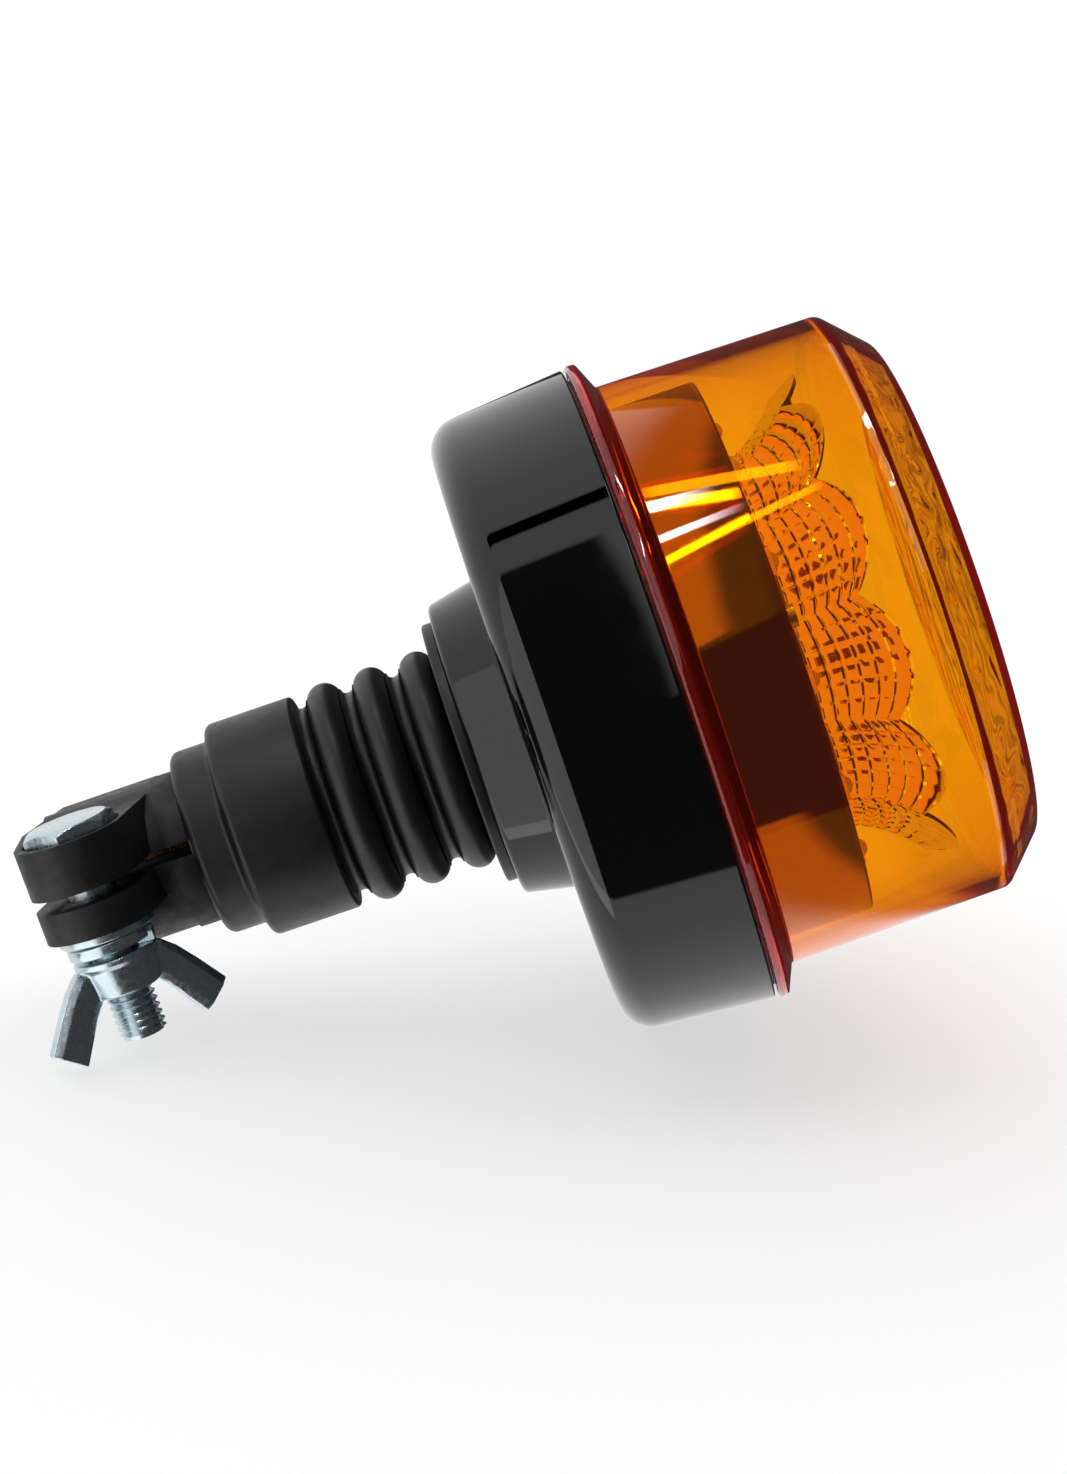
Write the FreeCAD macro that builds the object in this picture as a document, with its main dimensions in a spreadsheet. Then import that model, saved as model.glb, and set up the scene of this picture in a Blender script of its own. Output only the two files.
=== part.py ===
import FreeCAD, Part
import math
import os
import Sketcher
from FreeCAD import Placement, Rotation, Vector

# Amber warning beacon on a flexible stem, with a split clamp for a 24 mm pole spigot.
# Origin: centre of the pole socket's mouth. +Z runs up the socket to the lens.
# The clamp lugs point along -Y and the clamp bolt lies along X, its head towards -X.

doc = FreeCAD.newDocument("Beacon")
sheet = doc.addObject("Spreadsheet::Sheet", "Sizes")

# A value that starts with = follows from the ones before it
SIZES = [
    # pole socket and clamp lugs
    ("socketRadius", 12.1), ("clampWall", 3.6), ("socketDepth", 42.0), ("socketGrip", 36.0),
    ("socketRelief", 0.6), ("mouthRelief", 0.5), ("clampTubeTop", 52.0),
    ("collarBase", 23.3), ("collarTop", 28.3), ("collarProud", 0.5),
    ("barbBase", 44.0), ("barbTop", 49.0), ("barbProud", 2.0),
    ("boltOffset", 21.4), ("boltHeight", 7.4), ("lugNose", 11.8), ("lugCheek", 9.0),
    ("lugShoulder", 22.6), ("lugRoot", 4.0), ("noseRound", 11.0), ("cheekRound", 11.0),
    ("padReach", 12.6), ("padFoot", 2.4), ("padHeel", 7.0),
    ("slitCentre", 2.8), ("slitWidth", 2.8), ("slitTop", 34.0),
    ("headLugTop", 14.6), ("nutLugFace", 5.2), ("headSeatDepth", 4.1), ("headSeatGap", 0.4),
    ("spotFaceGap", 0.3),
    # clamp bolt M10, its washers and wing nut
    ("boltRadius", 5.0), ("boltLength", 40.0), ("headWidth", 17.0), ("headHeight", 6.4),
    ("headTurn", 9.0), ("boltChamfer", 1.0), ("boltHoleGap", 0.3), ("threadGap", 0.05),
    ("stackGap", 0.05), ("washerRadius", 10.0), ("washerThick", 2.0),
    ("springWasherRadius", 9.05), ("springWasherThick", 2.4), ("springWasherRise", 1.4),
    ("springWasherSplit", 12.0),
    ("nutBaseRadius", 8.8), ("nutTopRadius", 7.2), ("nutHeight", 8.0),
    ("wingReach", 17.0), ("wingRise", 16.7), ("wingWidth", 8.0), ("wingThick", 4.4),
    ("wingTurn", -29.0), ("wingRootGap", 1.0),
    # contacts in the socket
    ("contactGap", 0.05), ("housingWall", 1.1), ("housingTop", 54.0), ("housingFloor", 4.0),
    ("plungerRadius", 3.0), ("plungerReach", 5.7), ("plungerCollar", 4.7),
    ("plungerCollarThick", 1.5), ("chamberRadius", 5.0),
    ("springWire", 0.8), ("springCoil", 3.5), ("springTurns", 4.0),
    ("terminalRadius", 7.0), ("terminalThick", 1.0), ("terminalHole", 2.2),
    ("leafWidth", 3.0), ("leafThick", 0.5), ("leafBase", 9.0), ("leafTop", 56.0),
    # flexible stem
    ("sleeveWall", 3.9), ("sleeveLowRadius", "=socketRadius + clampWall + sleeveWall"),
    ("sleeveStep", 37.0), ("stepDepth", 3.2), ("sleeveHighRadius", "=sleeveLowRadius + stepDepth"),
    ("sleeveTop", 55.9), ("sleeveFlat", 0.3), ("sleeveRound", "=sleeveWall - sleeveFlat"),
    ("stepFlat", 0.2), ("stepRound", "=(stepDepth - stepFlat) / 2"), ("rollRound", 3.6),
    ("grooveWidth", 2.8), ("grooveRound", 1.2), ("rollSpine", 19.7), ("stemBore", 13.2),
    ("stemFlangeRadius", 27.8),
    ("insertRadius", 23.0), ("insertThick", 2.4), ("insertHole", 8.0), ("mouldGap", 0.03),
    # base cup
    ("neckFoot", 88.4), ("neckFootRadius", 31.1), ("neckRootRadius", 33.4), ("cupFloor", 99.3),
    ("cupRim", 130.0), ("cupRimRadius", 67.8), ("cupTaper", 2.6),
    ("cupFootRadius", "=cupRimRadius - cupTaper"), ("cupWall", 2.6),
    ("cupCorner", 7.0), ("cupInnerCorner", 3.2), ("neckFloorThick", 3.0), ("neckWall", 3.2),
    ("neckRound", 1.4), ("leadHole", 6.5), ("rimWall", 4.9), ("sealSeatDepth", 2.4),
    ("sealSeatWidth", 2.6), ("sealGap", 0.1),
    # lens
    ("flangeProud", 0.4), ("flangeRadius", "=cupRimRadius + flangeProud"),
    ("flangeLift", 0.5), ("flangeThick", 2.3), ("lensRise", 2.6),
    ("lensFoot", "=cupRim + flangeLift + flangeThick + lensRise"), ("lensInset", 5.5),
    ("lensFootRadius", "=cupRimRadius - lensInset"), ("lensDraft", 0.7),
    ("lensShoulderRadius", "=lensFootRadius - lensDraft"), ("lensTop", 191.3),
    ("bevelHeight", 8.6), ("lensShoulder", "=lensTop - bevelHeight"), ("bevelWidth", 8.9),
    ("lensTopRadius", "=lensShoulderRadius - bevelWidth"), ("lensWall", 2.4), ("skirtDepth", 4.5),
    ("skirtGap", 0.4), ("lensRound", 0.7),
    # carrier drum, light engine and reflector
    ("drumInset", 10.8), ("drumRadius", "=cupRimRadius - drumInset"), ("drumWall", 2.2),
    ("drumBore", "=drumRadius - drumWall"), ("drumTop", 154.0), ("drumLedge", 4.8),
    ("drumLedgeThick", 2.4), ("seatGap", 0.1), ("plateThick", 3.0), ("finHeight", 10.0),
    ("finThick", 1.6), ("finInner", 12.0), ("finMargin", 6.8),
    ("finOuter", "=drumBore - finMargin"), ("finCount", 18),
    ("ledBoardThick", 1.6), ("ledBoardWidth", 14.6),
    ("ledBoardInner", "=drumBore - ledBoardWidth"), ("ledCount", 12), ("ledInset", 8.8),
    ("ledCircle", "=drumBore - ledInset"),
    ("ledSize", 5.0), ("ledHeight", 1.3), ("ledDome", 1.9),
    ("reflectorGap", 1.4), ("reflectorFoot", "=ledBoardInner - reflectorGap"),
    ("petalFlare", 16.2), ("reflectorMouth", "=reflectorFoot + petalFlare"),
    ("reflectorHeight", 21.5),
    ("reflectorWall", 1.5), ("petalDip", 3.2), ("petalCrown", 17.0), ("reflectorFloor", 1.8),
    # driver board and what stands on it
    ("driverInset", 10.8), ("driverRadius", "=drumBore - driverInset"), ("driverThick", 1.6),
    ("postHeight", 9.0), ("postRadius", 4.0), ("postInset", 6.0),
    ("postCircle", "=driverRadius - postInset"), ("capRadius", 5.0), ("capHeight", 16.0),
    ("coilRadius", 7.0), ("coilRound", 3.0), ("chipLength", 10.0), ("chipWidth", 6.0), ("chipHeight", 2.2),
    # bosses, tabs and screws inside
    ("bossHeight", 5.0), ("bossRadius", 3.2), ("bossInset", 5.8),
    ("bossCircle", "=drumBore - bossInset"), ("tabThick", 2.6),
    ("screwGap", 0.15), ("smallShank", 1.4), ("smallHead", 2.3), ("smallHeadHeight", 1.6),
    ("smallLength", 6.0), ("stemShank", 2.0), ("stemHead", 3.9), ("stemHeadHeight", 2.8),
    ("stemScrewLength", 5.2), ("stemScrewCircle", 15.5), ("boardScrewInset", 3.4),
    ("boardScrewCircle", "=drumBore - boardScrewInset"),
    ("reflectorScrewCircle", 24.0), ("shortLength", 3.8), ("leadRadius", 1.2),
]

for row, (alias, value) in enumerate(SIZES, start=1):
    sheet.set("A%d" % row, alias)
    sheet.set("B%d" % row, str(value))
    sheet.setAlias("B%d" % row, alias)
doc.recompute()


def size(expression):
    """Value of an expression written in the sheet's own names."""
    return float(sheet.evalExpression(named(expression)))


def named(expression):
    """Put the sheet's name before each of its aliases in an expression."""
    words = []
    word = ""
    for letter in str(expression) + " ":
        if letter.isalnum() or letter == ".":
            word += letter
        else:
            words.append("Sizes." + word if word in ALIASES else word)
            words.append(letter)
            word = ""
    return "".join(words).strip()


ALIASES = {alias for alias, value in SIZES}


def bind(thing, **links):
    """Bind properties of an object to expressions; x, y and z set its Placement."""
    for key, expression in links.items():
        path = "Placement.Base." + key if key in ("x", "y", "z") else key
        thing.setExpression(path, named(expression))
    return thing


def origin_plane(body, role):
    return next(f for f in body.Origin.OriginFeatures if f.Role == role)


def outline(body, role, corners, offset=None):
    """Closed sketch. A corner is (across, up); a third entry gives the centre's 'across'
    of a half circle that arrives at that corner, bulging away from the axis if it is
    'out' and towards it if 'in'."""
    sketch = body.newObject("Sketcher::SketchObject", body.Name + "_outline")
    sketch.AttachmentSupport = [(origin_plane(body, role), "")]
    sketch.MapMode = "FlatFace"
    if offset:
        sketch.setExpression("AttachmentOffset.Base.z", named(offset))
    places = [Vector(size(c[0]), size(c[1]), 0) for c in corners]
    for index, corner in enumerate(corners):
        start, end = places[index - 1], places[index]
        if len(corner) == 2:
            sketch.addGeometry(Part.LineSegment(start, end), False)
        else:
            circle = Part.Circle((start + end) / 2, Vector(0, 0, 1), start.distanceToPoint(end) / 2)
            first = -math.pi / 2 if corner[2] == "out" else math.pi / 2
            sketch.addGeometry(Part.ArcOfCircle(circle, first, first + math.pi), False)
    ends = [arrival(edge, place) for edge, place in zip(sketch.Geometry, places)]
    for index, corner in enumerate(corners):
        following = (index + 1) % len(corners)
        end, begin = ends[index], 3 - ends[following]
        sketch.addConstraint(Sketcher.Constraint("Coincident", index, end, following, begin))
        pin(sketch, "DistanceX", index, end, corner[0])
        pin(sketch, "DistanceY", index, end, corner[1])
        if len(corner) == 3:
            pin(sketch, "DistanceX", index, 3, corner[0])
    return sketch


def arrival(edge, place):
    """Which end of a sketch edge lies at a place: 1 for its start, 2 for its end."""
    return 1 if edge.StartPoint.distanceToPoint(place) < 0.001 else 2


def pin(sketch, kind, index, end, expression):
    """Hold a sketch point at a bound distance from the sketch's origin."""
    value = size(expression)
    if abs(value) < 1e-9:
        axis = -2 if kind == "DistanceX" else -1
        sketch.addConstraint(Sketcher.Constraint("PointOnObject", index, end, axis))
        return
    number = sketch.addConstraint(Sketcher.Constraint(kind, -1, 1, index, end, value))
    sketch.setExpression("Constraints[%d]" % number, named(expression))


def body_named(label):
    body = doc.addObject("PartDesign::Body", label)
    body.Label = label
    return body


def turned(label, corners):
    """A body revolved about Z from an outline of (radius, height) corners."""
    body = body_named(label)
    sketch = outline(body, "XZ_Plane", corners)
    turn = body.newObject("PartDesign::Revolution", label + "_turn")
    turn.Profile = sketch
    turn.ReferenceAxis = (sketch, ["V_Axis"])
    turn.Angle = 360
    doc.recompute()
    return body


def rounded(body, rings, kind="Fillet"):
    """Round or chamfer the edges that run through given (radius, height) rings."""
    for number, (radius, height, amount) in enumerate(rings):
        doc.recompute()
        base = body.Tip
        names = ring_edges(base.Shape, size(radius), size(height))
        dress = body.newObject("PartDesign::" + kind, "%s_%s%d" % (body.Name, kind, number))
        dress.Base = (base, names)
        dress.setExpression("Radius" if kind == "Fillet" else "Size", named(amount))
        body.Tip = dress
    doc.recompute()
    return body


def ring_edges(shape, radius, height):
    """Names of the edges that lie on the circle of a radius at a height."""
    names = []
    for number, edge in enumerate(shape.Edges, start=1):
        points = [edge.valueAt(edge.FirstParameter), edge.valueAt(edge.LastParameter),
                  edge.valueAt((edge.FirstParameter + edge.LastParameter) / 2)]
        if all(abs(p.z - height) < 0.01 and abs(math.hypot(p.x, p.y) - radius) < 0.01
               for p in points):
            names.append("Edge%d" % number)
    return names


def padded(body, role, corners, length, start="0", cut=False):
    """Pad or pocket an outline from one plane offset along the plane's normal."""
    doc.recompute()
    sketch = outline(body, role, corners, offset=start)
    kind = "PartDesign::Pocket" if cut else "PartDesign::Pad"
    pad = body.newObject(kind, body.Name + ("_pocket" if cut else "_pad"))
    pad.Profile = sketch
    pad.setExpression("Length", named(length))
    pad.Reversed = cut
    doc.recompute()
    return pad


def drilled(body, role, across, up, radius, length, start="0", cut=True, count=1):
    """Round pocket or pillar, repeated about Z when count is more than one."""
    doc.recompute()
    sketch = body.newObject("Sketcher::SketchObject", body.Name + "_circle")
    sketch.AttachmentSupport = [(origin_plane(body, role), "")]
    sketch.MapMode = "FlatFace"
    sketch.setExpression("AttachmentOffset.Base.z", named(start))
    centre = Vector(size(across), size(up), 0)
    sketch.addGeometry(Part.Circle(centre, Vector(0, 0, 1), size(radius)), False)
    pin(sketch, "DistanceX", 0, 3, across)
    pin(sketch, "DistanceY", 0, 3, up)
    number = sketch.addConstraint(Sketcher.Constraint("Radius", 0, size(radius)))
    sketch.setExpression("Constraints[%d]" % number, named(radius))
    kind = "PartDesign::Pocket" if cut else "PartDesign::Pad"
    feature = body.newObject(kind, body.Name + ("_bore" if cut else "_pillar"))
    feature.Profile = sketch
    feature.setExpression("Length", named(length))
    feature.Reversed = cut
    doc.recompute()
    if count != 1:
        patterned(body, feature, count)
    return feature


def patterned(body, feature, count):
    """Repeat a feature evenly about the body's Z axis."""
    pattern = body.newObject("PartDesign::PolarPattern", feature.Name + "_ring")
    pattern.Originals = [feature]
    pattern.Axis = (origin_plane(body, "Z_Axis"), [""])
    pattern.Angle = 360
    pattern.setExpression("Occurrences", named(count))
    body.Tip = pattern
    doc.recompute()
    return pattern


def around(circle, angle):
    """x and y expressions of a place on a circle about Z."""
    return "(%s) * cos(%g)" % (circle, angle), "(%s) * sin(%g)" % (circle, angle)


def along_bolt(body, distance, turn="0"):
    """Lay a body made along Z on the clamp bolt's axis, a distance along X."""
    spin = Rotation(Vector(0, 1, 0), 90).multiply(Rotation(Vector(0, 0, 1), size(turn)))
    body.Placement = Placement(Vector(0, 0, 0), spin)
    bind(body, x=distance, y="-boltOffset", z="boltHeight")


def clamp_body():
    """Split tube with two lugs and a flat pad on the bolt head's side; the rubber stem
    grips its collar and barb."""
    tube = "socketRadius + clampWall"
    body = turned("clamp_body", [
        ("0", "0"), (tube, "0"), (tube, "collarBase"),
        (tube + " + collarProud", "collarBase"), (tube + " + collarProud", "collarTop"),
        (tube, "collarTop"), (tube, "barbBase"),
        (tube + " + barbProud", "barbBase"), (tube + " + barbProud", "barbTop"),
        (tube, "barbTop"), (tube, "clampTubeTop"), ("0", "clampTubeTop")])
    front = "-boltOffset - lugNose"
    padded(body, "YZ_Plane", [
        ("0", "0"), ("-boltOffset", "boltHeight - lugNose"), (front, "boltHeight - lugNose"),
        (front, "boltHeight + lugCheek"), ("-lugRoot", "lugShoulder"), ("0", "collarBase")],
        "headLugTop + nutLugFace", start="-headLugTop")
    padded(body, "YZ_Plane", [
        ("-boltOffset", "boltHeight - lugNose"), ("-padHeel", "boltHeight - lugNose"),
        ("padReach", "padFoot"), ("padReach", "collarBase"), ("0", "collarBase")],
        "headLugTop - padReach / 2", start="-headLugTop")
    round_upright(body, front, "boltHeight - lugNose", "noseRound")
    round_upright(body, front, "boltHeight + lugCheek", "cheekRound")
    drilled(body, "XY_Plane", "0", "0", "socketRadius", "socketDepth", start="0")
    drilled(body, "XY_Plane", "0", "0", "socketRadius + mouthRelief", "lugNose",
            start="-lugNose")
    drilled(body, "XY_Plane", "0", "0", "socketRadius + socketRelief",
            "socketDepth - socketGrip", start="socketGrip")
    drilled(body, "XY_Plane", "0", "0", "socketRadius - housingWall",
            "clampTubeTop", start="0")
    padded(body, "YZ_Plane", [
        ("-boltOffset - 2 * lugNose", "-lugNose"), ("-socketRadius / 2", "-lugNose"),
        ("-socketRadius / 2", "slitTop"), ("-boltOffset - 2 * lugNose", "slitTop")],
        "slitWidth", start="-slitCentre - slitWidth / 2", cut=True)
    groove = "leafWidth / 2 + contactGap"
    padded(body, "XY_Plane", [
        ("-(%s)" % groove, "socketRadius / 2"), (groove, "socketRadius / 2"),
        (groove, "socketRadius + leafThick + 2 * contactGap"),
        ("-(%s)" % groove, "socketRadius + leafThick + 2 * contactGap")],
        "clampTubeTop", start="leafBase - contactGap", cut=True)
    drilled(body, "YZ_Plane", "-boltOffset", "boltHeight", "boltRadius + boltHoleGap",
            "headLugTop + nutLugFace", start="-headLugTop")
    drilled(body, "YZ_Plane", "-boltOffset", "boltHeight",
            "headWidth / (2 * cos(30)) + headSeatGap", "headSeatDepth", start="-headLugTop")
    drilled(body, "YZ_Plane", "-boltOffset", "boltHeight", "washerRadius + spotFaceGap",
            tube, start="nutLugFace")
    return body


def round_upright(body, across, up, amount):
    """Round the edge that runs along X through a place in the YZ plane."""
    y, z = size(across), size(up)
    base = body.Tip
    names = [
        "Edge%d" % number for number, edge in enumerate(base.Shape.Edges, start=1)
        if all(abs(v.Y - y) < 0.01 and abs(v.Z - z) < 0.01 for v in edge.Vertexes)]
    fillet = body.newObject("PartDesign::Fillet", body.Name + "_round")
    fillet.Base = (base, names)
    fillet.setExpression("Radius", named(amount))
    body.Tip = fillet
    doc.recompute()


def clamp_bolt():
    """M10 hexagon bolt: turned with its chamfers, then milled to six flats."""
    corner = "headWidth / (2 * cos(30))"
    body = turned("clamp_bolt", [
        ("0", "-headHeight"), ("headWidth / 2", "-headHeight"),
        (corner, "-headHeight + (%s - headWidth / 2) * tan(30)" % corner),
        (corner, "0"), ("boltRadius", "0"), ("boltRadius", "boltLength - boltChamfer"),
        ("boltRadius - boltChamfer", "boltLength"), ("0", "boltLength")])
    flat = padded(body, "XY_Plane", [
        ("headWidth / 2", "-headWidth"), ("headWidth", "-headWidth"),
        ("headWidth", "headWidth"), ("headWidth / 2", "headWidth")],
        "headHeight", start="-headHeight", cut=True)
    patterned(body, flat, "6")
    along_bolt(body, "-headLugTop + headSeatDepth", "headTurn")
    return body


def ring(label, inner, outer, base, thick):
    """Flat ring about Z."""
    return turned(label, [
        (inner, base), (outer, base), (outer, "%s + %s" % (base, thick)),
        (inner, "%s + %s" % (base, thick))])


def flat_washer():
    body = ring("flat_washer", "boltRadius + boltHoleGap", "washerRadius", "0", "washerThick")
    along_bolt(body, "nutLugFace + stackGap")
    return body


def spring_washer():
    """Split spring washer, one open turn of square bar."""
    inner, outer = size("boltRadius + boltHoleGap"), size("springWasherRadius")
    thick, rise = size("springWasherThick"), size("springWasherRise")
    share = 1 - size("springWasherSplit") / 360
    helix = Part.makeHelix(rise / share, rise, (inner + outer) / 2)
    corners = [Vector(x, 0, z) for x, z in (
        (inner, 0), (outer, 0), (outer, thick), (inner, thick), (inner, 0))]
    turned_bar = Part.Wire(helix).makePipeShell([Part.makePolygon(corners)], True, True)
    feature = doc.addObject("Part::Feature", "spring_washer")
    feature.Shape = turned_bar
    feature.Label = "spring_washer"
    along_bolt(feature, "nutLugFace + washerThick + 2 * stackGap", "200")
    return feature


def wing_nut():
    """Forged wing nut: conical hub with two wings that lean away from the clamp."""
    bore = "boltRadius + threadGap"
    body = turned("wing_nut", [
        (bore, "0"), ("nutBaseRadius", "0"), ("nutBaseRadius", "nutHeight / 6"),
        ("nutTopRadius", "nutHeight"), (bore, "nutHeight")])
    lean = "atan2(wingReach - nutTopRadius; wingRise - nutHeight / 2)"
    out = "wingWidth / 2 * cos(%s)" % lean
    rise = "wingWidth / 2 * sin(%s)" % lean
    for side in ("", "-"):
        padded(body, "XZ_Plane", [
            (side + "(boltRadius + wingRootGap)", "nutHeight / 6"), (side + "nutBaseRadius", "nutHeight / 8"),
            (side + "(nutBaseRadius + wingReach) / 2", "nutHeight / 2"),
            (side + "(wingReach + %s)" % out, "wingRise - %s" % rise),
            (side + "(wingReach - %s)" % out, "wingRise + %s" % rise),
            (side + "nutTopRadius", "nutHeight * 1.2"), (side + "(boltRadius + wingRootGap)", "nutHeight")],
            "wingThick", start="-wingThick / 2")
    along_bolt(body, NUT_SEAT, "wingTurn")
    return body


NUT_SEAT = "nutLugFace + washerThick + springWasherThick + springWasherRise + 3 * stackGap"


def stem_bellows():
    """Rubber moulding: sleeve over the clamp tube, three rolls, flange under the neck."""
    tube = "socketRadius + clampWall + mouldGap"
    waves = [("rollSpine", "sleeveTop")]
    height = "sleeveTop"
    corners = []
    for count in range(3):
        corners += [("rollSpine", height, "grooveRound")]
        height += " + grooveWidth"
        corners += [("rollSpine", height, "grooveRound")]
        waves.append(("rollSpine", height))
        height += " + 2 * rollRound"
        waves.append(("rollSpine", height, "out"))
    seat = "neckFoot - mouldGap"
    body = turned("stem_bellows", [
        (tube, "collarTop + mouldGap"), ("sleeveLowRadius", "collarTop + mouldGap"),
        ("sleeveLowRadius", "sleeveStep"), ("sleeveHighRadius", "sleeveStep"),
        ("sleeveHighRadius", "sleeveTop")] + waves + [
        ("stemFlangeRadius", height), ("stemFlangeRadius", seat),
        ("insertRadius + mouldGap", seat),
        ("insertRadius + mouldGap", "neckFoot - insertThick - 3 * mouldGap"),
        ("stemBore", "neckFoot - insertThick - 3 * mouldGap"),
        ("stemBore", "clampTubeTop + mouldGap"), (tube, "clampTubeTop + mouldGap"),
        (tube, "barbTop + mouldGap"), (tube + " + barbProud", "barbTop + mouldGap"),
        (tube + " + barbProud", "barbBase - mouldGap"), (tube, "barbBase - mouldGap")])
    return rounded(body, [
        ("sleeveLowRadius", "collarTop + mouldGap", "sleeveRound"),
        ("sleeveLowRadius", "sleeveStep", "stepRound"),
        ("sleeveHighRadius", "sleeveStep", "stepRound"),
        ("sleeveHighRadius", "sleeveTop", "stepRound")] + corners)


def stem_insert():
    """Steel plate moulded into the rubber flange, tapped for the stem screws."""
    body = ring("stem_insert", "insertHole", "insertRadius",
                "neckFoot - insertThick - 2 * mouldGap", "insertThick")
    drilled(body, "XY_Plane", "stemScrewCircle", "0", "stemShank + threadGap",
            "2 * insertThick", start="neckFoot - 2 * insertThick", count="3")
    return body


def base_cup():
    """Gloss moulding: deep cup with its neck, posts, bosses and seat for the seal."""
    inner_floor = "cupFloor + cupWall"
    body = turned("base_cup", [
        ("leadHole", "neckFoot"), ("neckFootRadius", "neckFoot"),
        ("neckRootRadius", "cupFloor"), ("cupFootRadius", "cupFloor"),
        ("cupRimRadius", "cupRim"), ("cupRimRadius - sealSeatWidth", "cupRim"),
        ("cupRimRadius - sealSeatWidth", "cupRim - sealSeatDepth"),
        ("cupRimRadius - rimWall", "cupRim - sealSeatDepth"),
        ("cupFootRadius - cupWall", inner_floor),
        ("neckRootRadius - neckWall", inner_floor),
        ("neckFootRadius - neckWall", "neckFoot + neckFloorThick"),
        ("leadHole", "neckFoot + neckFloorThick")])
    rounded(body, [
        ("cupFootRadius", "cupFloor", "cupCorner"),
        ("cupFootRadius - cupWall", inner_floor, "cupInnerCorner"),
        ("neckFootRadius", "neckFoot", "neckRound"),
        ("neckRootRadius", "cupFloor", "neckRound")])
    for circle, angle, radius, height in (
            ("postCircle", 90, "postRadius", "postHeight"),
            ("bossCircle", 30, "bossRadius", "bossHeight")):
        x, y = around(circle, angle)
        drilled(body, "XY_Plane", x, y, radius, height + " + cupWall / 2",
                start="cupFloor + cupWall / 2", cut=False, count="3")
        drilled(body, "XY_Plane", x, y, "smallShank + threadGap", height,
                start=inner_floor, count="3")
    drilled(body, "XY_Plane", "stemScrewCircle", "0", "stemShank + screwGap",
            "neckFloorThick", start="neckFoot", count="3")
    return body


def lens():
    """Clear amber dome: skirt, flange, upright wall, bevelled shoulder and flat top."""
    flange_base = "cupRim + flangeLift"
    skirt = "cupRimRadius - rimWall - skirtGap"
    body = turned("lens", [
        (skirt + " - lensWall", flange_base + " - skirtDepth"),
        (skirt, flange_base + " - skirtDepth"), (skirt, flange_base),
        ("flangeRadius", flange_base), ("flangeRadius", flange_base + " + flangeThick"),
        ("lensFootRadius", "lensFoot"), ("lensShoulderRadius", "lensShoulder"),
        ("lensTopRadius", "lensTop"), ("0", "lensTop"), ("0", "lensTop - lensWall"),
        ("lensTopRadius - lensWall / 2", "lensTop - lensWall"),
        ("lensShoulderRadius - lensWall", "lensShoulder - lensWall / 2"),
        ("lensFootRadius - lensWall", "lensFoot")])
    return rounded(body, [
        ("flangeRadius", flange_base, "lensRound"),
        ("flangeRadius", flange_base + " + flangeThick", "lensRound"),
        ("lensShoulderRadius", "lensShoulder", "lensRound"),
        ("lensTopRadius", "lensTop", "lensRound")])


def lens_seal():
    """Rubber ring squeezed between the cup's seat and the lens flange."""
    return ring("lens_seal", "cupRimRadius - rimWall - skirtGap + sealGap",
                "cupRimRadius - sealSeatWidth - sealGap", "cupRim - sealSeatDepth + sealGap",
                "sealSeatDepth + flangeLift - 2 * sealGap")


LEDGE_TOP = "drumTop - ledBoardThick - plateThick - 2 * seatGap"
PLATE_BASE = "drumTop - ledBoardThick - plateThick - seatGap"
DRIVER_BASE = "cupFloor + cupWall + postHeight + seatGap"


def carrier_drum():
    """Black drum that hides the driver and carries the light engine on its ledge."""
    inner = "drumBore"
    foot = "cupFloor + cupWall + seatGap"
    body = turned("carrier_drum", [
        (inner, foot), ("drumRadius", foot), ("drumRadius", "drumTop"), (inner, "drumTop"),
        (inner, LEDGE_TOP), (inner + " - drumLedge", LEDGE_TOP),
        (inner + " - drumLedge", LEDGE_TOP + " - drumLedgeThick"),
        (inner, LEDGE_TOP + " - drumLedgeThick - drumLedge")])
    tab_base = "cupFloor + cupWall + bossHeight + seatGap"
    x, y = around("bossCircle", 30)
    drilled(body, "XY_Plane", x, y, "drumRadius - drumWall / 2 - bossCircle",
                  "tabThick", start=tab_base, cut=False, count="3")
    drilled(body, "XY_Plane", x, y, "smallShank + screwGap", "tabThick", start=tab_base,
            count="3")
    bx, by = around("boardScrewCircle", 15)
    drilled(body, "XY_Plane", bx, by, "smallShank + threadGap",
            "drumLedgeThick + drumLedge", start=LEDGE_TOP + " - drumLedgeThick - drumLedge",
            count="3")
    return body


def heat_sink():
    """Aluminium plate under the LED board with radial fins below it."""
    body = body_named("heat_sink")
    drilled(body, "XY_Plane", "0", "0", "drumBore - seatGap", "plateThick",
            start=PLATE_BASE, cut=False)
    fin = padded(body, "XY_Plane", [
        ("finInner", "-finThick / 2"), ("finOuter", "-finThick / 2"),
        ("finOuter", "finThick / 2"), ("finInner", "finThick / 2")],
        "finHeight + plateThick / 2", start=PLATE_BASE + " - finHeight")
    patterned(body, fin, "finCount")
    x, y = around("reflectorScrewCircle", 50)
    drilled(body, "XY_Plane", x, y, "smallShank + threadGap", "plateThick + finHeight",
            start=PLATE_BASE + " - finHeight", count="3")
    bx, by = around("boardScrewCircle", 15)
    drilled(body, "XY_Plane", bx, by, "smallShank + screwGap", "plateThick",
            start=PLATE_BASE, count="3")
    hx, hy = around("ledBoardInner + 2 * leadRadius", 0)
    drilled(body, "XY_Plane", hx, hy, "leadRadius + screwGap", "plateThick + finHeight",
            start=PLATE_BASE + " - finHeight")
    return body


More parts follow.
